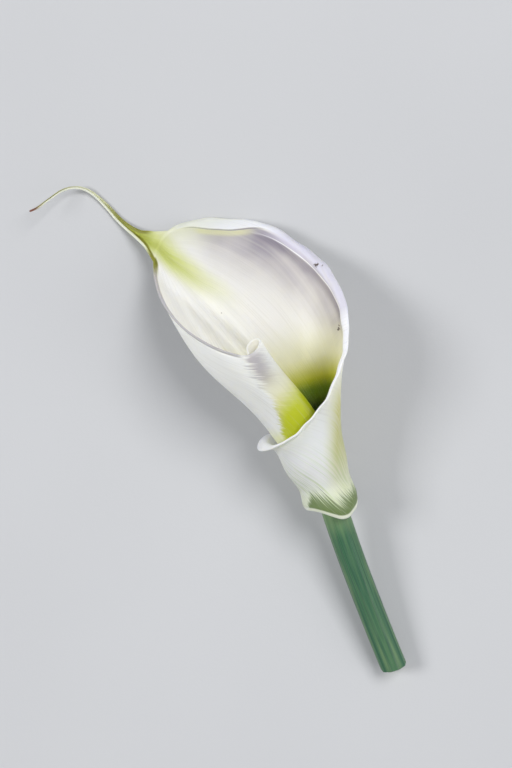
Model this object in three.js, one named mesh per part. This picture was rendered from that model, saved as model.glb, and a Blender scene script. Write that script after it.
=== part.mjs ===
// A calla lily flower cut from its plant: a white spathe rolled round a spadix, on a short green stalk.
// Millimetres. The shapes are laid out in the flower's own frame: the stalk's axis runs along +Y,
// the mouth of the spathe faces +Z, +X is the right-hand side looking into the mouth, and the origin
// is the middle of the stalk where the spathe grows from it. The group then lies the flower on its back.
import * as THREE from 'three';

// ---------------------------------------------------------------- driving dimensions

// The spathe's ribs, from its inner edge to its outer edge. Columns: turn = degrees round the stalk
// where the rib starts (0 at the back, growing round the right side), x y z = the end of the rib at
// the rim, flare = how far the end leans outwards, lip = degrees by which the rim rolls back,
// hold = how long the rib keeps to the stalk's direction before it leans, swell = how far its middle
// swells to the right and to the front, foot = height of its start.
const RIBS = [
  // turn,    x,     y,     z, flare, lip, hold, swell x, z, foot
  [-262, -12.6,  78.0,  19.0,  0.00,   0, 1.30,  0.4, -2.0,  3.0],
  [-252, -12.2,  80.3,  16.0,  0.00,   0, 1.30,  2.0, -1.2,  3.0],
  [-240,  -9.5,  81.8,  13.6,  0.00,   0, 1.30,  2.9,  0.3,  3.0],
  [-228,  -6.8,  82.0,  14.0,  0.00,   0, 1.30,  2.3,  1.4,  3.0],
  [-216,  -6.2,  80.6,  16.2,  0.00,   0, 1.30,  1.4,  1.4,  3.0],
  [-203,  -8.3,  78.8,  19.2,  0.00,   0, 1.35,  0.3,  0.3,  3.5],
  [-190, -11.5,  77.8,  21.4,  0.00,   0, 1.40, -0.8, -0.7,  4.0],
  [-175, -16.0,  78.3,  22.4,  0.00,  10, 1.60, -1.0, -1.2,  5.0],
  [-150, -24.4,  83.4,  18.5, -0.12,  20, 1.85,  0.2, -0.8,  6.0],
  [-118, -33.0,  91.2,   7.5, -0.25,  30, 1.90, -0.3,  0.4,  6.5],
  [ -85, -38.0,  99.8,  -7.0, -0.18,  30, 1.85, -0.6,  0.1,  6.5],
  [ -55, -39.8, 109.5, -21.0,  0.04,  20, 1.60, -1.2, -0.7,  6.5],
  [ -25, -38.8, 119.5, -31.0,  0.35,   0, 1.40,  0.0,  0.0,  6.0],
  [   0, -35.0, 126.0, -37.0,  0.40,   0, 1.20,  0.0,  0.0,  5.5],
  [  20, -29.5, 130.0, -40.0,  0.50,   0, 1.10,  0.0,  0.0,  4.5],
  [  36, -18.5, 129.0, -41.0,  0.60,  60, 1.00,  0.0,  0.0,  4.0],
  [  52,  -7.0, 126.0, -40.0,  0.55,  90, 1.00,  0.0,  0.0,  3.5],
  [  70,  10.0, 117.5, -35.5,  0.45,  90, 1.00,  0.0,  0.0,  3.0],
  [  88,  20.5, 106.0, -28.0,  0.40,  80, 1.00,  0.0,  0.0,  2.5],
  [ 106,  27.0,  94.0, -18.0,  0.35,  70, 1.00,  0.0,  0.0,  2.0],
  [ 124,  29.3,  82.5,  -7.0,  0.35,  60, 1.00,  0.0,  0.0,  1.0],
  [ 140,  28.0,  73.0,   2.0,  0.35,  50, 1.00,  0.2,  0.2,  0.0],
  [ 156,  24.3,  64.5,   9.2,  0.35,  45, 1.00,  0.3,  0.7, -1.0],
  [ 172,  18.8,  56.5,  14.2,  0.35,  40, 1.00,  0.2,  1.3, -0.5],
  [ 188,  10.6,  48.4,  16.8,  0.35,  35, 1.00, -0.2,  1.5,  1.5],
  [ 204,   2.3,  41.8,  17.0,  0.35,  35, 1.00, -0.6,  1.4,  3.5],
  [ 222,  -6.0,  37.4,  14.8,  0.40,  45, 1.00, -0.9,  1.0,  5.0],
  [ 242, -12.0,  34.9,   9.3,  0.50,  65, 1.00, -1.5,  0.5,  5.5],
  [ 264, -14.9,  34.7,   1.0,  0.60,  85, 1.00, -1.9,  0.0,  5.5],
  [ 286, -14.2,  35.7,  -6.0,  0.50,  70, 1.00, -1.6, -0.1,  5.5],
  [ 306, -11.4,  35.8, -11.0,  0.40,  25, 1.00, -0.6, -0.3,  5.5],
];
const RIB_COLUMNS = 92;            // columns of the sheet's mesh, evenly shared among the ribs
const RIB_ROWS = 25;               // rows from foot to rim, closer together at the rim
const ROW_CROWDING = 1.45;
const LIP_RADIUS = 4.0;            // radius of the rolled rim
const SWELL_POWER = 1.2;           // above 1 the swell sits above the middle of the rib

const SPATHE_AXIS_X = 1.9;         // the tube of the spathe stands a little right of the mouth's middle
const FOOT_RADIUS = 7.25;          // middle of the innermost layer at its foot
const FOOT_PITCH = 2.75;           // growth of that radius for each turn of the sheet
const FOOT_LEAN = 0.10;            // how far the ribs lean outwards as they leave the stalk

const THICK_FOOT = 2.45;           // thickness of the sheet at its foot, up the tube and at the rim
const THICK_WALL = 1.4;
const THICK_RIM = 0.9;
const THICK_HEM = 1.3;             // the foot's own lower edge, thinner than the foot above it
const THICK_TIP = 0.6;             // the tip of the tail
const FOOT_ZONE = 0.16;            // part of each rib over which the foot thins to the wall

const WAIST_HEIGHT = 14;           // the tube narrows here, above the flared foot
const WAIST_REACH = 6.5;
const WAIST_INNER = 0.9;           // by this much on the inner layer and on the outer one
const WAIST_OUTER = 1.35;
const WAIST_TURNS = [-60, 180];    // the one becomes the other between these turns

// The tail: the rim between these two turns is drawn out between a left and a right edge.
const TAIL_FROM_TURN = -22;
const TAIL_TO_TURN = 21;
const TAIL_LEFT = [
  [-39.5, 124.0, -34.8], [-40.8, 127.8, -38.2], [-43.4, 132.1, -41.6], [-46.3, 136.6, -44.8],
  [-48.9, 141.2, -47.0], [-51.6, 147.4, -48.6], [-54.3, 152.9, -49.5], [-57.2, 157.0, -49.3],
  [-61.2, 159.6, -47.8], [-66.7, 160.3, -45.1], [-73.3, 158.5, -41.4], [-78.4, 157.0, -38.8],
  [-82.0, 156.6, -36.9],
];
const TAIL_RIGHT = [
  [-33.5, 131.4, -40.8], [-36.6, 132.6, -41.7], [-40.4, 134.2, -43.3], [-44.0, 137.7, -45.6],
  [-46.9, 141.9, -47.6], [-49.9, 148.1, -49.1], [-53.1, 153.6, -49.9], [-56.6, 157.8, -49.6],
  [-61.1, 160.3, -48.2], [-66.8, 160.9, -45.3], [-73.5, 158.9, -41.6], [-78.5, 157.4, -38.9],
  [-82.0, 156.9, -37.1],
];
const TAIL_ROWS = 30;
const TAIL_CHANNEL = 0.18;         // depth of the tail's channel as a part of its width
const CHANNEL_ENDS = [6, 11];      // the channel fades out between these points of the edges
const CHANNEL_FADE = 0.9;          // by this part of its depth

// The stalk, as stations of height, x, z and radius, from its cut end up into the spathe's foot.
const STALK = [
  [-72.0, 5.4, 3.1, 5.5],
  [-54.0, 4.1, 2.0, 5.5],
  [-36.0, 3.0, 1.0, 5.5],
  [-18.0, 2.2, 0.3, 5.55],
  [-3.0, 1.9, 0.0, 5.6],
  [6.8, 1.9, 0.0, 5.4],
  [7.8, 1.9, 0.0, 4.6],
];
const STALK_SIDES = 28;
const STALK_ROWS = 22;
const STALK_RIDGES = 9;            // faint ridges along the stalk, and their height
const STALK_RIDGE = 0.12;

// The spadix, as stations of height, x, z and radius. It narrows to a blunt end behind the inner roll.
const FEMALE = [
  [8.1, 1.7, 0.0, 4.2],
  [9.3, 1.6, 0.0, 4.9],
  [13.0, 1.1, 0.0, 5.0],
  [17.0, 0.5, -0.1, 4.7],
  [19.0, 0.3, -0.2, 4.3],
];
const FEMALE_SIDES = 28;
const FEMALE_ROWS = 16;
const FEMALE_BUMPS_ROUND = 7;
const FEMALE_BUMP_SPACING = 3.2;
const FEMALE_BUMP = 0.45;
const MALE = [
  [19.3, 0.3, -0.2, 4.0],
  [20.3, 0.2, -0.2, 4.35],
  [32.0, -1.0, -0.4, 4.4],
  [44.0, -2.3, -0.7, 4.1],
  [53.0, -3.4, -1.0, 3.3],
  [57.0, -3.9, -1.1, 2.1],
  [58.4, -4.1, -1.2, 0.9],
];
const MALE_SIDES = 32;
const MALE_ROWS = 34;
const MALE_BUMPS_ROUND = 8;
const MALE_BUMP_SPACING = 3.6;
const MALE_BUMP = 0.22;

// How the flower lies: turned about X until the stalk's end and the back of the rim are level. The rim
// is pressed flat where it bears on the ground, at this height in the turned frame, over a soft bend.
const REST_PITCH = 12.0;
const REST_PRESS = -17.3;
const REST_BEND = 0.7;

const SPATHE_COLOUR = 0xf2f0e6;
const STALK_COLOUR = 0x4f7f55;
const FEMALE_COLOUR = 0xc9d58a;
const MALE_COLOUR = 0xe9b528;

// ---------------------------------------------------------------- curves and meshes

const degrees = Math.PI / 180;
const NUDGE = 0.05;                // a short step along a table of rows, to see which way its curve runs
const mix = (a, b, t) => a + (b - a) * t;

// A smooth value through rows of numbers; place runs from 0 to rows.length - 1.
function smoothRow(rows, place) {
  const last = rows.length - 1;
  const i = Math.min(Math.floor(Math.max(place, 0)), last - 1);
  const t = Math.min(Math.max(place - i, 0), 1);
  return rows[0].map((_, k) => {
    const p1 = rows[i][k];
    const p2 = rows[i + 1][k];
    const p0 = i > 0 ? rows[i - 1][k] : 2 * p1 - p2;
    const p3 = i + 2 <= last ? rows[i + 2][k] : 2 * p2 - p1;
    return 0.5 * (2 * p1 + (p2 - p0) * t + (2 * p0 - 5 * p1 + 4 * p2 - p3) * t * t
      + (3 * p1 - p0 - 3 * p2 + p3) * t * t * t);
  });
}

const pointOf = (row) => new THREE.Vector3(row[0], row[1], row[2]);

// The outward direction, square to the stalk, at a turn round it.
function outwards(turn) {
  return new THREE.Vector3(Math.sin(turn * degrees), 0, -Math.cos(turn * degrees));
}

// The points of one polyline spread again by length, closer together towards its end.
function respace(line, count, crowding) {
  const lengths = [0];
  for (let i = 1; i < line.length; i += 1) {
    lengths.push(lengths[i - 1] + line[i].distanceTo(line[i - 1]));
  }
  const total = lengths[line.length - 1];
  const spaced = [];
  let i = 1;
  for (let j = 0; j <= count; j += 1) {
    const wanted = total * (1 - (1 - j / count) ** crowding);
    while (i < line.length - 1 && lengths[i] < wanted) {
      i += 1;
    }
    const t = (wanted - lengths[i - 1]) / (lengths[i] - lengths[i - 1]);
    spaced.push(line[i - 1].clone().lerp(line[i], Math.min(t, 1)));
  }
  return spaced;
}

// A closed body from rings of points, with a flat cap over each end.
function loft(rings) {
  const sides = rings[0].length;
  const points = rings.flat();
  const faces = [];
  for (let r = 0; r + 1 < rings.length; r += 1) {
    for (let s = 0; s < sides; s += 1) {
      const a = r * sides + s;
      const b = r * sides + (s + 1) % sides;
      faces.push([a, b, b + sides], [a, b + sides, a + sides]);
    }
  }
  const top = (rings.length - 1) * sides;
  const ends = [rings[0], rings[rings.length - 1]].map((ring) => {
    const middle = new THREE.Vector3();
    ring.forEach((p) => middle.addScaledVector(p, 1 / sides));
    return points.push(middle) - 1;
  });
  for (let s = 0; s < sides; s += 1) {
    const next = (s + 1) % sides;
    faces.push([ends[0], next, s], [ends[1], top + s, top + next]);
  }
  return geometryOf(points, faces);
}

// A sheet given by its middle surface becomes a closed body of the wanted half thickness.
function thicken(points, faces, halves) {
  const normals = points.map(() => new THREE.Vector3());
  const edges = new Map();
  faces.forEach(([a, b, c]) => {
    const across = points[b].clone().sub(points[a]).cross(points[c].clone().sub(points[a]));
    [a, b, c].forEach((v) => normals[v].add(across));
    [[a, b], [b, c], [c, a]].forEach(([from, to]) => edges.set(`${from} ${to}`, [from, to]));
  });
  normals.forEach((n) => n.normalize());
  const count = points.length;
  const front = points.map((p, i) => p.clone().addScaledVector(normals[i], halves[i]));
  const back = points.map((p, i) => p.clone().addScaledVector(normals[i], -halves[i]));
  const skin = faces.flatMap(([a, b, c]) => [[a, b, c], [a + count, c + count, b + count]]);
  edges.forEach(([from, to]) => {
    if (!edges.has(`${to} ${from}`)) {
      skin.push([from, from + count, to + count], [from, to + count, to]);
    }
  });
  return geometryOf([...front, ...back], skin);
}

function geometryOf(points, faces) {
  const geometry = new THREE.BufferGeometry();
  const numbers = points.flatMap((p) => [p.x, p.y, p.z]);
  geometry.setAttribute('position', new THREE.Float32BufferAttribute(numbers, 3));
  geometry.setIndex(faces.flat());
  geometry.computeVertexNormals();
  return geometry;
}

// ---------------------------------------------------------------- the spathe

// One rib: a curve from its foot to the rim, then the rolled lip.
function ribLine(place) {
  const [turn, x, y, z, flare, lip, hold, swellX, swellZ, foot] = smoothRow(RIBS, place);
  const out = outwards(turn);
  const radius = FOOT_RADIUS + FOOT_PITCH * (turn - RIBS[0][0]) / 360;
  const start = out.clone().multiplyScalar(radius).add(new THREE.Vector3(SPATHE_AXIS_X, foot, 0));
  const end = new THREE.Vector3(x, y, z);
  const length = end.distanceTo(start);
  const leave = new THREE.Vector3(0, 1, 0).addScaledVector(out, FOOT_LEAN).setLength(length * hold);
  const arrive = end.clone().sub(start).normalize().addScaledVector(out, flare).setLength(length);
  const line = [];
  const steps = 40;
  for (let i = 0; i <= steps; i += 1) {
    const t = i / steps;
    const swell = Math.sin(Math.PI * t ** SWELL_POWER) ** 2;
    line.push(new THREE.Vector3()
      .addScaledVector(start, 2 * t ** 3 - 3 * t ** 2 + 1)
      .addScaledVector(leave, t ** 3 - 2 * t ** 2 + t)
      .addScaledVector(end, 3 * t ** 2 - 2 * t ** 3)
      .addScaledVector(arrive, t ** 3 - t ** 2)
      .addScaledVector(new THREE.Vector3(swellX, 0, swellZ), swell));
  }
  const waist = mix(WAIST_INNER, WAIST_OUTER, THREE.MathUtils.smoothstep(turn, ...WAIST_TURNS));
  line.forEach((point) => {
    const fromWaist = (point.y - WAIST_HEIGHT) / WAIST_REACH;
    point.addScaledVector(out, -waist * Math.exp(-(fromWaist ** 2)));
  });
  if (lip > 1) {
    const along = pointOf(smoothRow(RIBS, place + NUDGE).slice(1, 4))
      .sub(pointOf(smoothRow(RIBS, place - NUDGE).slice(1, 4)));
    const ahead = arrive.clone().normalize();
    const away = ahead.clone().cross(along).normalize();
    away.multiplyScalar(Math.sign(away.dot(out)));
    const bends = 12;
    for (let i = 1; i <= bends; i += 1) {
      const angle = lip * degrees * i / bends;
      line.push(end.clone().addScaledVector(ahead, LIP_RADIUS * Math.sin(angle))
        .addScaledVector(away, LIP_RADIUS * (1 - Math.cos(angle))));
    }
  }
  return respace(line, RIB_ROWS, ROW_CROWDING);
}

// Where a turn lies in the table of ribs.
function placeOfTurn(turn) {
  const i = RIBS.findIndex((rib) => rib[0] > turn) - 1;
  return i + (turn - RIBS[i][0]) / (RIBS[i + 1][0] - RIBS[i][0]);
}

// The places of the columns; two of them are moved onto the sides of the tail's root.
function columnPlaces() {
  const places = [];
  for (let i = 0; i <= RIB_COLUMNS; i += 1) {
    places.push((RIBS.length - 1) * i / RIB_COLUMNS);
  }
  const root = [TAIL_FROM_TURN, TAIL_TO_TURN].map((turn) => {
    const place = placeOfTurn(turn);
    const column = Math.round(place / (RIBS.length - 1) * RIB_COLUMNS);
    places[column] = place;
    return column;
  });
  return { places, root };
}

function spatheGeometry() {
  const { places, root } = columnPlaces();
  const points = [];
  const halves = [];
  const faces = [];
  places.forEach((place) => {
    ribLine(place).forEach((point, row) => {
      const part = row / RIB_ROWS;
      const wall = mix(THICK_WALL, THICK_RIM, part);
      const nearFoot = Math.max(1 - part / FOOT_ZONE, 0);
      points.push(point);
      halves.push((row === 0 ? THICK_HEM : mix(wall, THICK_FOOT, nearFoot)) / 2);
    });
  });
  const index = (column, row) => column * (RIB_ROWS + 1) + row;
  for (let c = 0; c < RIB_COLUMNS; c += 1) {
    for (let r = 0; r < RIB_ROWS; r += 1) {
      faces.push([index(c, r), index(c + 1, r), index(c + 1, r + 1)]);
      faces.push([index(c, r), index(c + 1, r + 1), index(c, r + 1)]);
    }
  }

  // the tail: the root's section carried between the two edges, narrowing to the tip
  const rootIndex = [];
  for (let c = root[0]; c <= root[1]; c += 1) {
    rootIndex.push(index(c, RIB_ROWS));
  }
  const section = rootIndex.map((i) => points[i]);
  const edgeLeft = [section[0].toArray(), ...TAIL_LEFT];
  const edgeRight = [section[section.length - 1].toArray(), ...TAIL_RIGHT];
  const frameAt = (place) => {
    const left = pointOf(smoothRow(edgeLeft, place));
    const right = pointOf(smoothRow(edgeRight, place));
    const ahead = pointOf(smoothRow(edgeLeft, place + NUDGE))
      .add(pointOf(smoothRow(edgeRight, place + NUDGE)))
      .sub(pointOf(smoothRow(edgeLeft, place - NUDGE)))
      .sub(pointOf(smoothRow(edgeRight, place - NUDGE)));
    const across = right.clone().sub(left);
    const width = across.length();
    across.normalize();
    const up = across.clone().cross(ahead).normalize();
    ahead.copy(up).cross(across);
    return { left, right, across, ahead, up, width };
  };
  const first = frameAt(0);
  const local = section.map((point) => {
    const d = point.clone().sub(first.left);
    const part = d.dot(first.across) / first.width;
    return { part, ahead: d.dot(first.ahead) / first.width, up: d.dot(first.up) / first.width };
  });
  let lower = rootIndex;
  for (let r = 1; r <= TAIL_ROWS; r += 1) {
    const place = (edgeLeft.length - 1) * r / TAIL_ROWS;
    const frame = frameAt(place);
    const settled = Math.min(place / 2, 1);
    const bent = 1 - CHANNEL_FADE * THREE.MathUtils.smoothstep(place, ...CHANNEL_ENDS);
    const upper = local.map(({ part, ahead, up }) => {
      const channel = TAIL_CHANNEL * settled * 4 * part * (1 - part);
      halves.push(mix(THICK_RIM, THICK_TIP, r / TAIL_ROWS) / 2);
      return points.push(frame.left.clone()
        .addScaledVector(frame.across, frame.width * part)
        .addScaledVector(frame.ahead, frame.width * ahead * (1 - settled))
        .addScaledVector(frame.up, frame.width * bent * (up - channel))) - 1;
    });
    for (let k = 0; k + 1 < upper.length; k += 1) {
      faces.push([lower[k], lower[k + 1], upper[k + 1]]);
      faces.push([lower[k], upper[k + 1], upper[k]]);
    }
    lower = upper;
  }
  points.forEach(pressFlat);
  return thicken(points, faces, halves);
}

// The lying flower's own weight flattens the lowest part of the rim.
function pressFlat(point) {
  const up = new THREE.Vector3(0, Math.sin(REST_PITCH * degrees), Math.cos(REST_PITCH * degrees));
  const depth = point.dot(up) - REST_PRESS;
  point.addScaledVector(up, (Math.sqrt(depth ** 2 + REST_BEND ** 2) - depth) / 2);
}

// ---------------------------------------------------------------- the stalk and the spadix

// A round body through stations of height, x, z and radius; raise lifts its skin at a turn and height.
function roundBody(stations, sides, rows, raise) {
  const rings = [];
  for (let r = 0; r <= rows; r += 1) {
    const [y, x, z, radius] = smoothRow(stations, (stations.length - 1) * r / rows);
    const ring = [];
    for (let s = 0; s < sides; s += 1) {
      const turn = -360 * s / sides;
      const reach = radius + raise(turn * degrees, y) * Math.min(r, rows - r, 2) / 2;
      ring.push(outwards(turn).multiplyScalar(reach).add(new THREE.Vector3(x, y, z)));
    }
    rings.push(ring);
  }
  return loft(rings);
}

// Bumps set in a spiral net round a body.
function bumps(round, spacing, height) {
  return (turn, y) => height * Math.cos(round * turn + Math.PI * y / spacing)
    * Math.cos(round * turn - Math.PI * y / spacing);
}

function ridges(turn) {
  return STALK_RIDGE * Math.cos(STALK_RIDGES * turn);
}

function petalMaterial(colour, roughness) {
  return new THREE.MeshStandardMaterial({ color: colour, roughness, metalness: 0 });
}

function named(name, geometry, material) {
  const mesh = new THREE.Mesh(geometry, material);
  mesh.name = name;
  return mesh;
}

// ---------------------------------------------------------------- the flower, laid on its back

const flower = new THREE.Group();
flower.add(
  named('spathe', spatheGeometry(), petalMaterial(SPATHE_COLOUR, 0.45)),
  named('peduncle', roundBody(STALK, STALK_SIDES, STALK_ROWS, ridges), petalMaterial(STALK_COLOUR, 0.5)),
  named('spadix_female', roundBody(FEMALE, FEMALE_SIDES, FEMALE_ROWS,
    bumps(FEMALE_BUMPS_ROUND, FEMALE_BUMP_SPACING, FEMALE_BUMP)), petalMaterial(FEMALE_COLOUR, 0.6)),
  named('spadix_male', roundBody(MALE, MALE_SIDES, MALE_ROWS,
    bumps(MALE_BUMPS_ROUND, MALE_BUMP_SPACING, MALE_BUMP)), petalMaterial(MALE_COLOUR, 0.75)),
);
flower.rotation.x = REST_PITCH * degrees;

// the origin is on the ground, under the middle of the flower's bounding box
const box = new THREE.Box3().setFromObject(flower, true);
flower.position.set(-(box.min.x + box.max.x) / 2, -(box.min.y + box.max.y) / 2, -box.min.z);

const lyingFlower = new THREE.Group();
lyingFlower.add(flower);

export default lyingFlower;
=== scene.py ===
import math

import bpy
import numpy as np
from mathutils import Matrix, Vector


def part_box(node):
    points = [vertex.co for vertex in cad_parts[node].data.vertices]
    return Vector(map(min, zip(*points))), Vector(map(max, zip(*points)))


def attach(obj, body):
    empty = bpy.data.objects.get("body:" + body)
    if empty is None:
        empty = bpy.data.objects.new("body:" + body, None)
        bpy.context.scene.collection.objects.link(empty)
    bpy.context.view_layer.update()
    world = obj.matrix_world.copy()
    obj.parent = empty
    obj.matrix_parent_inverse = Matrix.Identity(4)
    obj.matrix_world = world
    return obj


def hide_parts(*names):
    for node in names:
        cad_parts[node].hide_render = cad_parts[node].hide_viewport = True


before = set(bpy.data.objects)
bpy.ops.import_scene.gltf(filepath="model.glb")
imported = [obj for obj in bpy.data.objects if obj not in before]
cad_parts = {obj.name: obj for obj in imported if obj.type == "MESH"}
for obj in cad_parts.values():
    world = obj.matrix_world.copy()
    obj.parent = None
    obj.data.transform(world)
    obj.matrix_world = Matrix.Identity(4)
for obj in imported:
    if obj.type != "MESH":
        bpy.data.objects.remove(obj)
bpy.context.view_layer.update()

# ---------------------------------------------------------------- the spathe's dimensions

# Ribs from the inner edge of the rolled sheet to its outer edge.
RIBS = np.array([
    # turn,    x,     y,     z, flare, lip, hold, swell x, z, foot
    (-262, -12.6, 78.0, 19.0, 0.00, 0, 1.30, 0.4, -2.0, 3.0),
    (-252, -12.2, 80.3, 16.0, 0.00, 0, 1.30, 2.0, -1.2, 3.0),
    (-240, -9.5, 81.8, 13.6, 0.00, 0, 1.30, 2.9, 0.3, 3.0),
    (-228, -6.8, 82.0, 14.0, 0.00, 0, 1.30, 2.3, 1.4, 3.0),
    (-216, -6.2, 80.6, 16.2, 0.00, 0, 1.30, 1.4, 1.4, 3.0),
    (-203, -8.3, 78.8, 19.2, 0.00, 0, 1.35, 0.3, 0.3, 3.5),
    (-190, -11.5, 77.8, 21.4, 0.00, 0, 1.40, -0.8, -0.7, 4.0),
    (-175, -16.0, 78.3, 22.4, 0.00, 10, 1.60, -1.0, -1.2, 5.0),
    (-150, -24.4, 83.4, 18.5, -0.12, 20, 1.85, 0.2, -0.8, 6.0),
    (-118, -33.0, 91.2, 7.5, -0.25, 30, 1.90, -0.3, 0.4, 6.5),
    (-85, -38.0, 99.8, -7.0, -0.18, 30, 1.85, -0.6, 0.1, 6.5),
    (-55, -39.8, 109.5, -21.0, 0.04, 20, 1.60, -1.2, -0.7, 6.5),
    (-25, -38.8, 119.5, -31.0, 0.35, 0, 1.40, 0.0, 0.0, 6.0),
    (0, -35.0, 126.0, -37.0, 0.40, 0, 1.20, 0.0, 0.0, 5.5),
    (20, -29.5, 130.0, -40.0, 0.50, 0, 1.10, 0.0, 0.0, 4.5),
    (36, -18.5, 129.0, -41.0, 0.60, 60, 1.00, 0.0, 0.0, 4.0),
    (52, -7.0, 126.0, -40.0, 0.55, 90, 1.00, 0.0, 0.0, 3.5),
    (70, 10.0, 117.5, -35.5, 0.45, 90, 1.00, 0.0, 0.0, 3.0),
    (88, 20.5, 106.0, -28.0, 0.40, 80, 1.00, 0.0, 0.0, 2.5),
    (106, 27.0, 94.0, -18.0, 0.35, 70, 1.00, 0.0, 0.0, 2.0),
    (124, 29.3, 82.5, -7.0, 0.35, 60, 1.00, 0.0, 0.0, 1.0),
    (140, 28.0, 73.0, 2.0, 0.35, 50, 1.00, 0.2, 0.2, 0.0),
    (156, 24.3, 64.5, 9.2, 0.35, 45, 1.00, 0.3, 0.7, -1.0),
    (172, 18.8, 56.5, 14.2, 0.35, 40, 1.00, 0.2, 1.3, -0.5),
    (188, 10.6, 48.4, 16.8, 0.35, 35, 1.00, -0.2, 1.5, 1.5),
    (204, 2.3, 41.8, 17.0, 0.35, 35, 1.00, -0.6, 1.4, 3.5),
    (222, -6.0, 37.4, 14.8, 0.40, 45, 1.00, -0.9, 1.0, 5.0),
    (242, -12.0, 34.9, 9.3, 0.50, 65, 1.00, -1.5, 0.5, 5.5),
    (264, -14.9, 34.7, 1.0, 0.60, 85, 1.00, -1.9, 0.0, 5.5),
    (286, -14.2, 35.7, -6.0, 0.50, 70, 1.00, -1.6, -0.1, 5.5),
    (306, -11.4, 35.8, -11.0, 0.40, 25, 1.00, -0.6, -0.3, 5.5),
])
COLUMNS = 368
ROWS = 104
ROW_CROWDING = 1.45
LIP_RADIUS = 4.0
SWELL_POWER = 1.2
TUBE_X = 1.9
FOOT_RADIUS = 7.25
FOOT_PITCH = 2.75
FOOT_LEAN = 0.10
THICK_FOOT = 2.45
THICK_WALL = 1.4
THICK_RIM = 0.9
THICK_HEM = 1.3
THICK_TIP = 0.6
FOOT_ZONE = 0.16
HEM_ZONE = 0.03
WAIST_HEIGHT = 14
WAIST_REACH = 6.5
WAIST_INNER = 0.9
WAIST_OUTER = 1.35
WAIST_TURNS = (-60, 180)
RIB_STEPS = 161
NUDGE = 0.05                       # a short step along a table of rows, to see which way its curve runs

TAIL_TURNS = (-22, 21)
TAIL_LEFT = [
    (-39.5, 124.0, -34.8), (-40.8, 127.8, -38.2), (-43.4, 132.1, -41.6), (-46.3, 136.6, -44.8),
    (-48.9, 141.2, -47.0), (-51.6, 147.4, -48.6), (-54.3, 152.9, -49.5), (-57.2, 157.0, -49.3),
    (-61.2, 159.6, -47.8), (-66.7, 160.3, -45.1), (-73.3, 158.5, -41.4), (-78.4, 157.0, -38.8),
    (-82.0, 156.6, -36.9),
]
TAIL_RIGHT = [
    (-33.5, 131.4, -40.8), (-36.6, 132.6, -41.7), (-40.4, 134.2, -43.3), (-44.0, 137.7, -45.6),
    (-46.9, 141.9, -47.6), (-49.9, 148.1, -49.1), (-53.1, 153.6, -49.9), (-56.6, 157.8, -49.6),
    (-61.1, 160.3, -48.2), (-66.8, 160.9, -45.3), (-73.5, 158.9, -41.6), (-78.5, 157.4, -38.9),
    (-82.0, 156.9, -37.1),
]
TAIL_ROWS = 150
TAIL_LENGTH = 75
TAIL_SETTLES = 2                   # by this place of its tables the tail has its own section
TAIL_CHANNEL = 0.18
CHANNEL_ENDS = (6, 11)
CHANNEL_FADE = 0.9

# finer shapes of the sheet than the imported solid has
CREST_SHARPNESS = 2.4              # the rim rolls back more tightly at its crest than at its edge
LIP_STEPS = 48
GROOVE_INSET = 4.5                 # a shallow groove runs this far inside the crest
GROOVE_REACH = 2.6
GROOVE_DEPTH = 0.45
GROOVE_TURNS = (30, 48, 150, 176)  # where the groove starts, is full, wanes and ends
GROOVE_UNEVEN = 0.3                # the part of its depth that comes and goes
MIDRIB = [                         # the midrib leaves the foot at the back right and enters the tail
    # part of a rib, turn
    (0.0, 60), (0.3, 57), (0.45, 49), (0.58, 37), (0.67, 23), (0.79, 9), (0.87, 3), (1.0, 0),
]
MIDRIB_DEPTH = 0.6                 # a channel along the midrib, and its width
MIDRIB_REACH = 3.0
MIDRIB_CLIMB = (60, 105)           # it deepens between these distances from the foot
MIDRIB_TAIL = (0.25, 0)            # and fades over the first part of the tail
VEINS = 85                         # fine veins between the midrib and the margin
RIBS_EACH_VEIN = 0.35              # low ridges that follow the veins
RIBBING = 0.035
RIBBING_CLIMB = (8, 30)            # the ridges set in between these distances from the foot
RIBBING_MARGIN = (1.5, 6)          # and between these from a free edge
RIBBING_TAIL = (0.1, 0)            # and fade over the first part of the tail
MARGIN_POWER = 3                   # how sharply the distances to the rim and to the side edges blend
WRAP_VEINS = 0.33                  # on the outer wrap the veins are spaced by turn, and wind round it
WRAP_TWIST = 3.1                   # by this many degrees for each mm of height
WRAP_FROM = (105, 150)
WAVES = [                          # slow waves of the free edge: height, radians a degree, phase
    (0.35, 0.19, 0.6), (0.21, 0.43, 0),
]
WAVE_TURNS = (30, 50, 200, 250)
WAVE_MARGIN = (9, 0)               # they fade this far from the edge
LENS_TURNS = (26, 50, 54, 71)      # at the top the rolled rim is broad and lens-shaped
LENS_WIDTH = 3.7
LENS_RISE = 0.3
LENS_CREST = (-0.9, 0.2)           # it rises between these distances from its border
FLANGE_END = 138                   # down the right side a narrow flange lies outside a fine ridge
FLANGE_TAPER = 0.046
ROOT_ROUNDING = 60                 # passes that round the crease where the tail leaves the mouth
ROOT_SHARE = 0.5
ROOT_REACH = (5, 11)
MARGIN_STEPS = 4                   # facets of the rounded margin

REST_PITCH = math.radians(12.0)
REST_PRESS = -17.3
REST_BEND = 0.7

# ---------------------------------------------------------------- the photograph's view

MM_PER_PIXEL = 0.42                # at the flower, for an image 512 by 768 pixels
IMAGE_SIZE = (512, 768)
STALK_TOP_PIXEL = (331, 513)       # where the flower frame's origin shows
VIEW_ROLL = math.radians(18.0)     # the flower's axis leans to the left of the picture's up
VIEW_TILT = math.radians(10.0)     # and leans towards the camera
VIEW_DISTANCE = 700.0
SENSOR = 36.0
NEAREST_SEEN = 0.01                # metres


def flower_to_camera():
    """The rotation from the flower's axes to the picture's right, up and towards the camera."""
    return Matrix.Rotation(VIEW_ROLL, 3, "Z") @ Matrix.Rotation(VIEW_TILT, 3, "X")


# ---------------------------------------------------------------- curves and meshes

TINY = 1e-9                        # keeps a division from failing
LEAST = 1e-3                       # the least distance told apart, in millimetres


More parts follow.
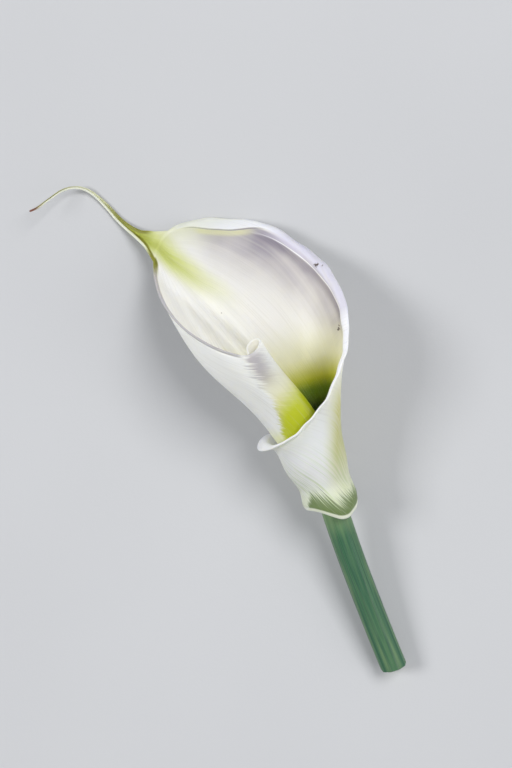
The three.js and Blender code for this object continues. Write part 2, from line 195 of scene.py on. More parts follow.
def smooth_rows(rows, places):
    """Catmull-Rom values of a table at places from 0 to len(rows) - 1."""
    rows = np.asarray(rows, float)
    places = np.asarray(places, float)
    last = len(rows) - 1
    i = np.clip(np.floor(places).astype(int), 0, last - 1)
    t = np.clip(places - i, 0, 1)[:, None]
    p1, p2 = rows[i], rows[i + 1]
    p0 = np.where((i > 0)[:, None], rows[np.maximum(i - 1, 0)], 2 * p1 - p2)
    p3 = np.where((i + 2 <= last)[:, None], rows[np.minimum(i + 2, last)], 2 * p2 - p1)
    return 0.5 * (2 * p1 + (p2 - p0) * t + (2 * p0 - 5 * p1 + 4 * p2 - p3) * t ** 2
                  + (3 * p1 - p0 - 3 * p2 + p3) * t ** 3)


def unit(v):
    return v / np.maximum(np.linalg.norm(v, axis=-1, keepdims=True), TINY)


def outwards(turn):
    """Outward directions, square to the stalk, at turns in degrees."""
    a = np.radians(turn)
    return np.stack([np.sin(a), 0 * a, -np.cos(a)], -1)


def ease(a, b, x):
    """0 below a, 1 above b, smooth between; a may be above b."""
    t = np.clip((x - a) / (b - a), 0, 1)
    return t * t * (3 - 2 * t)


def swells(x, start, full, wane, end):
    """0 outside start and end, 1 between full and wane, smooth between."""
    return ease(start, full, x) * ease(end, wane, x)


def smooth_line(stops, x):
    """A smooth value through stops of x and value."""
    at, values = np.array(stops, float).T
    places = np.interp(x, at, np.arange(len(at)))
    return smooth_rows(values[:, None], places)[:, 0]


def respace(lines, count, crowding):
    """Polylines spread again by length, closer together towards their ends."""
    steps = np.linalg.norm(np.diff(lines, axis=1), axis=2)
    lengths = np.concatenate([np.zeros((len(lines), 1)), np.cumsum(steps, 1)], 1)
    parts = 1 - (1 - np.arange(count + 1) / count) ** crowding
    spaced = np.empty((len(lines), count + 1, 3))
    for k, line in enumerate(lines):
        for axis in range(3):
            spaced[k, :, axis] = np.interp(parts * lengths[k, -1], lengths[k], line[:, axis])
    return spaced


def lay_down(points):
    """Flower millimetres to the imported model's metres."""
    c, s = math.cos(REST_PITCH), math.sin(REST_PITCH)
    turn = np.array([[1, 0, 0], [0, c, -s], [0, s, c]])
    return (np.asarray(points) @ turn.T + flower_offset) * 0.001


flower_offset = np.zeros(3)


def grid_quads(index):
    """The quads of a grid of point numbers."""
    corners = [index[:-1, :-1], index[1:, :-1], index[1:, 1:], index[:-1, 1:]]
    return np.stack(corners, -1).reshape(-1, 4)


def corner_normals(points, quads):
    """Smooth normals of a quad mesh."""
    a, b, c, d = (points[quads[:, k]] for k in range(4))
    across = np.cross(c - a, d - b)
    normals = np.zeros_like(points)
    for k in range(4):
        np.add.at(normals, quads[:, k], across)
    return unit(normals)


def make_object(name, points, quads, attributes, material, node):
    """A piece from points in the flower's frame, with a value of each fact at every point."""
    mesh = bpy.data.meshes.new(name)
    mesh.from_pydata(lay_down(points).tolist(), [], [list(map(int, q)) for q in quads])
    for key, values in attributes.items():
        layer = mesh.attributes.new(key, "FLOAT", "POINT")
        layer.data.foreach_set("value", np.asarray(values, np.float32))
    mesh.shade_smooth()
    mesh.materials.append(material)
    return add_piece(name, mesh, node)


def add_piece(name, mesh, node):
    """Puts a finished mesh on the flower's one body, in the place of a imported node."""
    piece = bpy.data.objects.new(name, mesh)
    bpy.context.collection.objects.link(piece)
    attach(piece, "root")
    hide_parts(node)
    return piece


# ---------------------------------------------------------------- the spathe

def place_of_turn(turn):
    return float(np.interp(turn, RIBS[:, 0], np.arange(len(RIBS))))


def rib_lines(places):
    """Every rib as a polyline: foot to rim, then the rolled lip."""
    turn, x, y, z, flare, lip, hold, swell_x, swell_z, foot = smooth_rows(RIBS, places).T
    out = outwards(turn)
    radius = FOOT_RADIUS + FOOT_PITCH * (turn - RIBS[0, 0]) / 360
    start = out * radius[:, None] + np.stack([TUBE_X + 0 * foot, foot, 0 * foot], -1)
    end = np.stack([x, y, z], -1)
    length = np.linalg.norm(end - start, axis=1)[:, None]
    leave = unit(np.array([0, 1, 0]) + FOOT_LEAN * out) * length * hold[:, None]
    arrive = unit((end - start) / length + flare[:, None] * out) * length
    t = np.linspace(0, 1, RIB_STEPS)[None, :, None]
    swell = np.stack([swell_x, 0 * swell_x, swell_z], -1)
    line = ((2 * t ** 3 - 3 * t ** 2 + 1) * start[:, None] + (t ** 3 - 2 * t ** 2 + t) * leave[:, None]
            + (3 * t ** 2 - 2 * t ** 3) * end[:, None] + (t ** 3 - t ** 2) * arrive[:, None]
            + np.sin(np.pi * t ** SWELL_POWER) ** 2 * swell[:, None])
    waist = WAIST_INNER + (WAIST_OUTER - WAIST_INNER) * ease(*WAIST_TURNS, turn)
    narrow = waist[:, None] * np.exp(-((line[:, :, 1] - WAIST_HEIGHT) / WAIST_REACH) ** 2)
    line -= out[:, None] * narrow[:, :, None]
    along = smooth_rows(RIBS, places + NUDGE)[:, 1:4] - smooth_rows(RIBS, places - NUDGE)[:, 1:4]
    ahead = unit(arrive)
    away = unit(np.cross(ahead, along))
    away *= np.sign((away * out).sum(1))[:, None]

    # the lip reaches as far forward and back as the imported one, with a tighter crest
    full = np.radians(np.where(lip > 1, lip, 0))[:, None]
    bend = full * (1 - (1 - np.linspace(0, 1, LIP_STEPS)) ** CREST_SHARPNESS)
    forward = np.cumsum(np.cos(bend), 1) / LIP_STEPS
    back = np.cumsum(np.sin(bend), 1) / LIP_STEPS
    wanted_back = LIP_RADIUS * (1 - np.cos(full))
    scale = wanted_back / np.maximum(back[:, -1:], TINY)
    forward, back = forward * scale, back * scale
    lead = np.maximum(LIP_RADIUS * np.sin(full) - forward[:, -1:], 0)
    lips = (end[:, None] + (forward + lead)[:, :, None] * ahead[:, None]
            + back[:, :, None] * away[:, None])
    return respace(np.concatenate([line, lips], 1), ROWS, ROW_CROWDING), turn, scale[:, 0]


def spathe_sheet():
    """The spathe's middle surface: points, quads, half thickness and leaf coordinates."""
    places = np.linspace(0, len(RIBS) - 1, COLUMNS + 1)
    root = []
    for turn in TAIL_TURNS:
        place = place_of_turn(turn)
        column = round(place / (len(RIBS) - 1) * COLUMNS)
        places[column] = place
        root.append(column)
    grid, turn, lip_length = rib_lines(places)
    part = np.broadcast_to(np.arange(ROWS + 1) / ROWS, grid.shape[:2])
    wall = THICK_WALL + (THICK_RIM - THICK_WALL) * part
    thick = wall + (THICK_FOOT - wall) * np.maximum(1 - part / FOOT_ZONE, 0)
    thick = THICK_HEM + (thick - THICK_HEM) * ease(0, HEM_ZONE, part)

    # leaf coordinates: vein is 0 on the midrib and 1 on the margin, so its level lines run as veins do
    rib_steps = np.linalg.norm(np.diff(grid, axis=1), axis=2)
    climbed = np.concatenate([np.zeros((COLUMNS + 1, 1)), np.cumsum(rib_steps, 1)], 1)
    left = climbed[:, -1:] - climbed
    row_steps = np.linalg.norm(np.diff(grid, axis=0), axis=2)
    walked = np.concatenate([np.zeros((1, ROWS + 1)), np.cumsum(row_steps, 0)], 0)
    midrib_turn = smooth_line(MIDRIB, part[0])
    midrib_walk = np.array([np.interp(t, turn, walked[:, row]) for row, t in enumerate(midrib_turn)])
    from_midrib = np.abs(walked - midrib_walk)
    right_side = turn[:, None] > midrib_turn
    to_side = np.where(right_side, walked[-1] - walked, walked)
    in_root = np.clip(np.minimum(walked - walked[root[0]], walked[root[1]] - walked), 0, None)
    to_rim = np.hypot(left, in_root)
    to_margin = (np.maximum(to_rim, LEAST) ** -MARGIN_POWER
                 + np.maximum(to_side, LEAST) ** -MARGIN_POWER) ** (-1 / MARGIN_POWER)
    vein = from_midrib / np.maximum(from_midrib + to_margin, LEAST)
    side = np.where(right_side, 1.0, -1.0)

    across = ROWS + 1
    index = np.arange((COLUMNS + 1) * across).reshape(COLUMNS + 1, across)
    quads = grid_quads(index)
    lip = lip_length[:, None] + 0 * part
    inset = left - lip
    lens_width = LENS_WIDTH * swells(turn, *LENS_TURNS)
    flange_width = np.clip(FLANGE_END - turn, 0, None) * FLANGE_TAPER
    facts = {
        "turn": turn[:, None] + 0 * part,                 # degrees round the stalk
        "climb": climbed,                                 # millimetres from the foot
        "margin": to_margin,                              # millimetres from the nearest free edge
        "midrib": from_midrib,                            # and from the midrib
        "side": side,                                     # 1 right of the midrib, -1 left of it
        "tail": 0 * part,                                 # 0 on the blade, growing to 1 at the tail's tip
        "lip": lip,                                       # width of the rolled rim
        "inset": inset,                                   # millimetres inside its crest
        "lens": lens_width[:, None] - inset,              # above 0 on the lens and on the flange
        "flange": flange_width[:, None] - inset,
        "grain": vein * side * VEINS,                     # counts the veins, by leaf and by turn
        "wound": WRAP_VEINS * (turn[:, None] - WRAP_TWIST * grid[:, :, 1]),
        "half": thick / 2,
    }
    facts = {key: value.reshape(-1) for key, value in facts.items()}
    points = grid.reshape(-1, 3)

    # the tail
    base = index[root[0]:root[1] + 1, -1]
    section = points[base]
    edges = [np.vstack([section[0], TAIL_LEFT]), np.vstack([section[-1], TAIL_RIGHT])]
    spots = (len(edges[0]) - 1) * np.arange(TAIL_ROWS + 1) / TAIL_ROWS
    a, b = (smooth_rows(edge, spots) for edge in edges)
    a_next, b_next = (smooth_rows(edge, spots + NUDGE) for edge in edges)
    a_last, b_last = (smooth_rows(edge, spots - NUDGE) for edge in edges)
    width = np.linalg.norm(b - a, axis=1)[:, None]
    cross = (b - a) / width
    up = unit(np.cross(cross, a_next + b_next - a_last - b_last))
    ahead = np.cross(up, cross)
    offset = section - section[0]
    share = offset @ cross[0] / width[0]
    forward = offset @ ahead[0] / width[0]
    rise = offset @ up[0] / width[0]
    settled = np.clip(spots / TAIL_SETTLES, 0, 1)[:, None, None]
    bent = (1 - CHANNEL_FADE * ease(*CHANNEL_ENDS, spots))[:, None, None]
    hollow = TAIL_CHANNEL * settled * (4 * share * (1 - share))[None, :, None]
    tail = (a[:, None] + cross[:, None] * (width * share)[:, :, None]
            + ahead[:, None] * (width * forward)[:, :, None] * (1 - settled)
            + up[:, None] * ((width * rise)[:, :, None] - width[:, :, None] * hollow) * bent)[1:]
    count = len(base)
    more = len(points) + np.arange(TAIL_ROWS * count).reshape(TAIL_ROWS, count)
    quads = np.vstack([quads, grid_quads(np.vstack([base, more]).T)])
    far = np.broadcast_to(spots[1:, None] / spots[-1], (TAIL_ROWS, count))
    extra = {key: values[base] + 0 * far for key, values in facts.items()}
    for key in ("midrib", "margin", "inset"):
        extra[key] *= width[1:] / width[0]
    extra["climb"] += far * TAIL_LENGTH
    extra["tail"] = far
    extra["half"] = (THICK_RIM + (THICK_TIP - THICK_RIM) * far) / 2
    facts = {key: np.concatenate([values, extra[key].reshape(-1)]) for key, values in facts.items()}
    points = np.vstack([points, tail.reshape(-1, 3)])
    return round_root(points, quads, points[base]), quads, facts


def round_root(points, quads, root):
    """Rounds the crease between the blade and the tail, less and less with distance from it."""
    away = np.min([np.linalg.norm(points - place, axis=1) for place in root], axis=0)
    share = ROOT_SHARE * ease(ROOT_REACH[1], ROOT_REACH[0], away)
    share[np.unique(border_edges(quads))] = 0
    near = quads[(share[quads] > 0).any(1)]
    pairs = np.concatenate([near[:, [k, (k + 1) % 4]] for k in range(4)])
    pairs = np.concatenate([pairs, pairs[:, ::-1]])
    meeting = np.maximum(np.bincount(pairs[:, 0], minlength=len(points)), 1)
    points = points.copy()
    for _ in range(ROOT_ROUNDING):
        middle = np.stack([np.bincount(pairs[:, 0], points[pairs[:, 1], axis], len(points))
                           for axis in range(3)], -1) / meeting[:, None]
        points += (middle - points) * share[:, None]
    return points


def relief(points, quads, facts):
    """Moves the sheet towards its inner face by the groove, the midrib, the ribbing and the waves."""
    turn, inset, tail = facts["turn"], facts["inset"], facts["tail"]
    crest = swells(turn, *GROOVE_TURNS)
    uneven = 1 - GROOVE_UNEVEN + GROOVE_UNEVEN * np.sin(turn * 0.11) * np.sin(turn * 0.047 + 1)
    groove = GROOVE_DEPTH * crest * uneven * np.exp(-((inset - GROOVE_INSET) / GROOVE_REACH) ** 2)
    fade = ease(*MIDRIB_CLIMB, facts["climb"]) * ease(*MIDRIB_TAIL, tail)
    channel = MIDRIB_DEPTH * fade * np.exp(-(facts["midrib"] / MIDRIB_REACH) ** 2)
    wrap = ease(*WRAP_FROM, turn)
    ribs = (1 - wrap) * np.cos(2 * np.pi * RIBS_EACH_VEIN * facts["grain"])
    ribs += wrap * np.cos(2 * np.pi * RIBS_EACH_VEIN * facts["wound"])
    ribs *= RIBBING * ease(*RIBBING_CLIMB, facts["climb"])
    ribs *= ease(*RIBBING_MARGIN, facts["margin"]) * ease(*RIBBING_TAIL, tail)
    waves = sum(height * np.sin(turn * pace + phase) for height, pace, phase in WAVES)
    waves *= swells(turn, *WAVE_TURNS) * ease(*WAVE_MARGIN, facts["margin"])
    lens = LENS_RISE * ease(*LENS_CREST, facts["lens"])
    move = ribs + waves + lens - groove - channel
    return points + corner_normals(points, quads) * move[:, None]


def press_flat(points):
    """The lying flower's own weight flattens the lowest part of the rim."""
    up = np.array([0, math.sin(REST_PITCH), math.cos(REST_PITCH)])
    depth = points @ up - REST_PRESS
    return points + up * ((np.sqrt(depth ** 2 + REST_BEND ** 2) - depth) / 2)[:, None]


def border_edges(quads):
    """Directed edges that belong to one quad only."""
    pairs = np.concatenate([quads[:, [k, (k + 1) % 4]] for k in range(4)])
    key = pairs[:, 0].astype(np.int64) * (quads.max() + 1) + pairs[:, 1]
    back = pairs[:, 1].astype(np.int64) * (quads.max() + 1) + pairs[:, 0]
    return pairs[~np.isin(key, back)]


def thicken(points, quads, facts):
    """A closed body round a middle surface, with a rounded margin."""
    normals = corner_normals(points, quads)
    half = facts["half"][:, None]
    edges = border_edges(quads)
    border = np.unique(edges)
    along = np.zeros_like(points)
    for end in (0, 1):
        np.add.at(along, edges[:, end], points[edges[:, 1]] - points[edges[:, 0]])
    off = unit(np.cross(along[border], normals[border]))
    count = len(points)
    slot_of = np.full(count, -1)
    slot_of[border] = np.arange(len(border))
    rings = [border]
    body = [points + normals * half, points - normals * half]
    outer = [np.zeros(count), np.ones(count)]
    source = [np.arange(count), np.arange(count)]
    for k in range(1, MARGIN_STEPS):
        angle = math.pi * k / MARGIN_STEPS
        ring = points[border] + half[border] * (normals[border] * math.cos(angle) + off * math.sin(angle))
        rings.append(2 * count + (k - 1) * len(border) + np.arange(len(border)))
        body.append(ring)
        outer.append(np.full(len(border), k / MARGIN_STEPS))
        source.append(border)
    rings.append(border + count)
    faces = [quads, quads[:, ::-1] + count]
    a, b = slot_of[edges[:, 0]], slot_of[edges[:, 1]]
    for near, next_ring in zip(rings, rings[1:]):
        faces.append(np.stack([near[b], near[a], next_ring[a], next_ring[b]], -1))
    source = np.concatenate(source)
    carried = {key: values[source] for key, values in facts.items() if key != "half"}
    carried["outer"] = np.concatenate(outer)
    return np.vstack(body), np.vstack(faces), carried


# ---------------------------------------------------------------- shader arithmetic

def linear(red, green, blue):
    """A colour named by its 0-255 screen values, as linear light."""
    def one(v):
        v = v / 255
        return v / 12.92 if v <= 0.04045 else ((v + 0.055) / 1.055) ** 2.4
    return (one(red), one(green), one(blue), 1.0)


class Shade:
    """A shader socket that takes part in sums: each operation adds a node to the material."""

    def __init__(self, tree, socket):
        self.tree = tree
        self.socket = socket

    def made(self, kind, inputs, output=0, **settings):
        """One output of a new node; its inputs are numbers, colours or other shades."""
        node = self.tree.nodes.new(kind)
        for key, value in settings.items():
            setattr(node, key, value)
        for key, value in inputs.items():
            if isinstance(value, Shade):
                self.tree.links.new(value.socket, node.inputs[key])
            else:
                node.inputs[key].default_value = value
        return Shade(self.tree, node.outputs[output])

    def sum_of(self, operation, other):
        return self.made("ShaderNodeMath", {0: self, 1: other}, operation=operation)

    def __add__(self, other):
        return self.sum_of("ADD", other)

    def __sub__(self, other):
        return self.sum_of("SUBTRACT", other)

    def __rsub__(self, other):
        return (self * -1) + other

    def __mul__(self, other):
        return self.sum_of("MULTIPLY", other)

    __radd__ = __add__
    __rmul__ = __mul__

    def most(self, other):
        return self.sum_of("MAXIMUM", other)

    def ease(self, low, high, start=0.0, end=1.0):
        """start below low, end above high, smooth between; low may be above high."""
        if low > high:
            low, high, start, end = high, low, end, start
        values = {"Value": self, "From Min": low, "From Max": high, "To Min": start, "To Max": end}
        return self.made("ShaderNodeMapRange", values, interpolation_type="SMOOTHSTEP")

    def tint(self, base, colour):
        """base where self is 0, colour where it is 1."""
        values = {0: self, 6: base, 7: colour}
        return self.made("ShaderNodeMix", values, 2, data_type="RGBA", clamp_factor=True)

    def noise(self, scale, detail=2.0, roughness=0.5):
        values = {"Vector": self, "Scale": scale, "Detail": detail, "Roughness": roughness}
        return self.made("ShaderNodeTexNoise", values)

    def cells(self, scale):
        return self.made("ShaderNodeTexVoronoi", {"Vector": self, "Scale": scale})

    def far_from(self, point):
        values = {0: self, 1: point}
        return self.made("ShaderNodeVectorMath", values, 1, operation="DISTANCE")


class Skin:
    """A procedural material with its principled surface, fact sockets and bump."""

    def __init__(self, name, roughness, subsurface=0.0, radius=(1.0, 0.8, 0.5), reach=0.001):
        self.material = bpy.data.materials.new(name)
        self.material.use_nodes = True
        self.tree = self.material.node_tree
        self.surface = self.tree.nodes["Principled BSDF"]
        self.surface.inputs["Roughness"].default_value = roughness
        self.surface.inputs["Subsurface Weight"].default_value = subsurface
        self.surface.inputs["Subsurface Radius"].default_value = radius
        self.surface.inputs["Subsurface Scale"].default_value = reach
        self.place = Shade(self.tree, None).made("ShaderNodeTexCoord", {}, "Object")

    def fact(self, name):
        return self.place.made("ShaderNodeAttribute", {}, "Fac", attribute_name=name)

    def vector(self, x, y, z):
        return self.place.made("ShaderNodeCombineXYZ", {0: x, 1: y, 2: z})

    def finish(self, colour, roughness=None, height=None, depth=0.0001):
        """Joins the worked-out colour, roughness and relief; depth is the relief's height in metres."""
        self.tree.links.new(colour.socket, self.surface.inputs["Base Color"])
        if roughness is not None:
            self.tree.links.new(roughness.socket, self.surface.inputs["Roughness"])
        if height is not None:
            bump = height.made("ShaderNodeBump", {"Height": height, "Distance": depth})
            self.tree.links.new(bump.socket, self.surface.inputs["Normal"])
        return self.material


# ---------------------------------------------------------------- materials

CREAM = linear(238, 235, 224)
CREAM_OUTSIDE = linear(240, 241, 233)
CLOUD_GREY = linear(218, 212, 202)
VEIN_GREY = linear(190, 186, 172)
# painted shade of the swept right wall
WALL_PAINTED_SHADE = linear(214, 209, 204)
# painted shade and painted shadow colours of the sheet
SHADE_GREY = linear(148, 142, 154)
PAINTED_SHADE_DARK = linear(104, 96, 116)
# white of the rim, also painted light on the lens, the crest and the lobe
LIP_WHITE_AND_LIGHT = linear(246, 246, 248)
# painted shade of the flange beyond the crest
FLANGE_SHADE_LAVENDER = linear(196, 192, 212)
THROAT_WARM = linear(224, 221, 170)
THROAT_YELLOW = linear(184, 186, 36)
THROAT_GREEN = linear(104, 134, 20)
# the throat's dark green with painted shade of the recess
THROAT_DEEP_SHADE = linear(34, 66, 20)
# painted glints of the throat's cells
THROAT_GLINTS = linear(222, 224, 160)
ROLL_WARM = linear(216, 211, 166)
ROLL_LIME = linear(184, 192, 26)
ROLL_OLIVE = linear(140, 150, 28)
LOBE_PALE = linear(228, 231, 176)
STREAK_GREEN = linear(186, 200, 150)
HEM_GREEN = linear(86, 112, 40)
HEM_PALE = linear(232, 235, 212)
SHOULDER_OLIVE = linear(178, 176, 70)
ROOT_GREEN = linear(190, 198, 112)
TAIL_GREEN = linear(152, 160, 52)
TAIL_OLIVE = linear(116, 118, 24)
TAIL_PALE = linear(230, 232, 202)
TIP_BROWN = linear(104, 52, 42)
BRUISE = linear(54, 30, 22)

# brown spots on the sheet: turn, part of the rib, radius in millimetres
BRUISES = [(101, 0.905, 1.3), (104, 0.93, 0.6), (131, 0.775, 1.05), (132, 0.80, 0.85), (214, 0.62, 0.5)]
BRUISE_RAGGED = 0.0026             # metres over which noise moves their outlines


def spathe_material(spots):
    """Colours laid one over another. Turns are degrees; heights, climbs and margins are millimetres."""
    skin = Skin("spathe_tissue", 0.45, subsurface=0.85, radius=(1.0, 0.95, 0.75), reach=0.004)
    turn, climb, grain, wound = (skin.fact(name) for name in ("turn", "climb", "grain", "wound"))
    tail, margin, midrib, side = (skin.fact(name) for name in ("tail", "margin", "midrib", "side"))
    lip, inset, lens, flange = (skin.fact(name) for name in ("lip", "inset", "lens", "flange"))
    outer, height = skin.fact("outer"), skin.fact("height")
    outside = outer.ease(0.35, 0.65)
    inside = 1.0 - outside
    blade = 1.0 - tail.ease(0.0, 0.1)

    wrap = turn.ease(*WRAP_FROM)
    fine_leaf = skin.vector(grain, climb * 0.03, outer * 9.0).noise(1.0, 3.0, 0.6)
    fine_wrap = skin.vector(wound, climb * 0.03, outer * 9.0).noise(1.0, 3.0, 0.6)
    fine = fine_leaf + (fine_wrap - fine_leaf) * wrap
    broad_leaf = skin.vector(grain * 0.17, climb * 0.012, outer * 5.0).noise(1.0, 2.0)
    broad_wrap = skin.vector(wound * 0.17, climb * 0.012, outer * 5.0).noise(1.0, 2.0)
    broad = broad_leaf + (broad_wrap - broad_leaf) * wrap
    cloud = skin.place.noise(34.0, 3.0)
    slant = skin.vector(climb * 1.5 - turn * 0.2, climb * 0.1 + turn * 0.02, 2.0).noise(1.0, 3.0, 0.65)
    ragged = (fine - 0.5) * 6.0
    feather = (slant - 0.5) * 50.0

    colour = outside.tint(CREAM, CREAM_OUTSIDE)
    colour = (broad.ease(0.56, 0.34) * inside * 0.2).tint(colour, CLOUD_GREY)

    # painted shade: the swept side greys below its fold, with painted shadow most just inside the fold;
    # the rolled rim is white, painted brighter where the lens and crest catch light
    swept = turn.ease(24, 60) * turn.ease(152, 128) * inside
    colour = (swept * 0.5).tint(colour, WALL_PAINTED_SHADE)
    # painted shade in streaks inside the rolled rim, where its shadow falls
    shade_band = inset.ease(34, 6) * inset.ease(0.2, 1.6) * swept
    shade_streaks = shade_band * cloud.ease(0.3, 0.7, 0.55, 1.0) * (0.65 + broad.ease(0.3, 0.7) * 0.35)
    colour = shade_streaks.tint(colour, SHADE_GREY)
    # painted shadow just inside the fold
    fold_shade = flange.ease(-0.1, -0.9) * flange.ease(-6.0, -1.2) * swept * turn.ease(56, 74)
    colour = (fold_shade * 0.55).tint(colour, PAINTED_SHADE_DARK)
    # a painted warm glow below the lens, where light shines through the lip
    lip_glow = lens.ease(-0.5, -1.0) * lens.ease(-4.2, -2.2) * turn.ease(34, 42) * turn.ease(68, 60)
    colour = (lip_glow * inside * 0.65).tint(colour, THROAT_WARM)
    # painted shadow under the lens's edge
    crease = lens.ease(-0.9, -0.4) * lens.ease(0.0, -0.35) * turn.ease(28, 36) * turn.ease(72, 64)
    colour = (crease * inside * 0.6).tint(colour, PAINTED_SHADE_DARK)
    # the rolled rim's own white; on the lens it is painted light, where the rolled rim catches the light
    rolled = inset.ease(0.6, -0.4) * lip.ease(0.5, 2.0)
    white_rim_and_lit_lens = rolled.most(lens.ease(-0.3, 0.1) * turn.ease(24, 28)) * inside
    colour = (white_rim_and_lit_lens * 0.95).tint(colour, LIP_WHITE_AND_LIGHT)
    # painted shade on the flange beyond the crest, where it turns away from the light
    beyond_crest_shade = flange.ease(0.1, 0.7) * turn.ease(64, 84) * turn.ease(142, 128)
    colour = (beyond_crest_shade * inside * 0.75).tint(colour, FLANGE_SHADE_LAVENDER)
    # a painted highlight along the flange's fine ridge
    ridge = flange.ease(-0.4, -0.1) * flange.ease(0.4, 0.1) * turn.ease(62, 80) * inside
    colour = (ridge * 0.7).tint(colour, LIP_WHITE_AND_LIGHT)
    # painted shade along the left rim's rounded edge
    rim_shade_line = margin.ease(1.3, 0.6) * turn.ease(-14, -30) * turn.ease(-182, -172)
    colour = (rim_shade_line * 0.65).tint(colour, PAINTED_SHADE_DARK)

    # the midrib and the tail
    stripe = midrib.ease(9.5, 0.5) * climb.ease(86, 126) * inside * (0.72 + broad * 0.5)
    colour = (stripe * tail.ease(0.3, 0.1)).tint(colour, ROOT_GREEN)
    colour = (midrib.ease(3.2, 0.4) * climb.ease(104, 138) * inside * 0.6).tint(colour, TAIL_GREEN)
    colour = ((climb + ragged * 1.5).ease(120, 142) * 0.45).tint(colour, ROOT_GREEN)
    colour = ((tail + ragged * 0.012).ease(0.05, 0.22)).tint(colour, TAIL_GREEN)
    left_band = margin.ease(3.0, 1.6) * climb.ease(116, 124) * turn.ease(4, -6) * inside
    colour = left_band.tint(colour, TAIL_OLIVE)
    right_band = tail.ease(0.1, 0.2) * margin.ease(1.6, 0.4) * side.ease(-0.5, 0.5)
    colour = right_band.tint(colour, TAIL_OLIVE)
    # a painted rim of light along the tail's left edge
    lit_tail_edge = climb.ease(128, 138) * margin.ease(0.9, 0.35) * side.ease(0.5, -0.5)
    colour = (lit_tail_edge * 0.9).tint(colour, TAIL_PALE)
    colour = (tail.ease(0.38, 0.55) * tail.ease(0.85, 0.65) * 0.5).tint(colour, TAIL_PALE)

    # the throat: its own warm, yellow and green colours, and painted shade deepest down
    deepen = ragged + height
    lining = inside * margin.ease(1.4, 3.4)
    colour = (lining * deepen.ease(82, 60) * 0.75).tint(colour, THROAT_WARM)
    colour = (lining * (ragged * 0.4 + height).ease(65, 54)).tint(colour, THROAT_YELLOW)
    colour = (lining * height.ease(56.5, 50)).tint(colour, THROAT_GREEN)
    # painted shade deep in the throat, over its green
    colour = (lining * height.ease(50.5, 42)).tint(colour, THROAT_DEEP_SHADE)
    # painted glints: tiny light speckles on the throat's cells
    cell_glints = skin.place.cells(1900.0).ease(0.3, 0.1) * lining * height.ease(58, 54)
    colour = (cell_glints * 0.16).tint(colour, THROAT_GLINTS)

    # the inner roll, seen from outside: beyond a feathered line drawn where shade falls it takes painted
    # shade high up, a warm tint, and lime lower down
    drop = (56.0 - height).most(0.0)
    shaded_side = outside * (turn + 178.5 - drop * 2.6 + feather * 0.9).ease(6, -9)
    lowered = (turn + 227.0) * 0.149 + height + ragged * 0.5
    # painted shadow on the upper part of the roll
    roll_shade = shaded_side * (turn + feather * 0.4).ease(-216, -190) * height.ease(58, 68) * height.ease(84, 76)
    colour = (roll_shade * 0.8).tint(colour, SHADE_GREY)
    # a pale warm yellow, its feathered edge following the painted shade line
    colour = (shaded_side * lowered.ease(78, 60) * 0.8).tint(colour, ROLL_WARM)
    colour = (shaded_side * (lowered + feather * 0.1).ease(65, 53.5)).tint(colour, ROLL_LIME)
    colour = (outside * turn.ease(-212, -238) * height.ease(62, 50) * 0.6).tint(colour, ROLL_OLIVE)
    behind_lobe = outside * turn.ease(-146, -128) * turn.ease(-60, -90) * height.ease(46, 38)
    colour = (behind_lobe * 0.8).tint(colour, LOBE_PALE)
    # painted light: the lobe's inside is brightened where light shines through it
    lobe = inside * turn.ease(205, 232)
    colour = (lobe * height.ease(58, 54)).tint(colour, LIP_WHITE_AND_LIGHT)
    colour = (lobe * margin.ease(4.5, 9) * 0.8).tint(colour, LOBE_PALE)
    colour = (lobe * margin.ease(11, 18)).tint(colour, THROAT_YELLOW)

    # the outer wrap: an olive shoulder on the right, green streaks that rise from the hem, a pale hem
    shoulder = outside * turn.ease(20, 105) * turn.ease(196, 166)
    shoulder = shoulder * deepen.ease(64, 42) * height.ease(0, 30)
    colour = (shoulder * fine.ease(0.3, 0.6, 0.55, 0.8)).tint(colour, SHOULDER_OLIVE)
    low = (fine.ease(0.40, 0.62) * height.ease(44, 12)).most(deepen.ease(20, 8) * 0.6)
    colour = (outside * low * 0.7).tint(colour, STREAK_GREEN)
    hem_line = climb + (fine - 0.5) * 22.0 + (broad - 0.5) * 8.0 + turn.ease(222, 246) * 7.0
    hem_patch = outside * hem_line.ease(9.5, 4.5) * climb.ease(0.5, 1.6)
    colour = (hem_patch * 0.9).tint(colour, HEM_GREEN)
    colour = (climb.ease(1.5, 0.7) * 0.8).tint(colour, HEM_PALE)

    # veins, tip and bruises
    quiet = 1.0 - inside * height.ease(64, 56) * 0.7
    colour = (fine.ease(0.50, 0.34) * quiet * blade * 0.2).tint(colour, VEIN_GREY)
    colour = (tail + ragged * 0.012).ease(0.86, 0.97).tint(colour, TIP_BROWN)
    marks = skin.place.cells(150.0).ease(0.055, 0.03) * cloud.ease(0.55, 0.66) * inside * 0.6
    for spot, radius in spots:
        distance = skin.place.far_from(spot) + (skin.place.noise(1100.0, 3.0) - 0.5) * BRUISE_RAGGED
        marks = marks.most(distance.ease(radius, radius * 0.5))
    colour = (marks * 0.92).tint(colour, BRUISE)

    pits = skin.place.noise(1600.0, 2.0)
    relief = fine * 0.7 + pits * 0.15 + broad * 0.6
    return skin.finish(colour, fine.ease(0.3, 0.7, 0.38, 0.5), relief, 0.00013)


STALK_GREEN = linear(68, 114, 78)
STALK_DARK = linear(40, 82, 64)
STALK_PALE = linear(150, 176, 120)
PITH = linear(206, 216, 170)
FIBRE = linear(120, 140, 84)


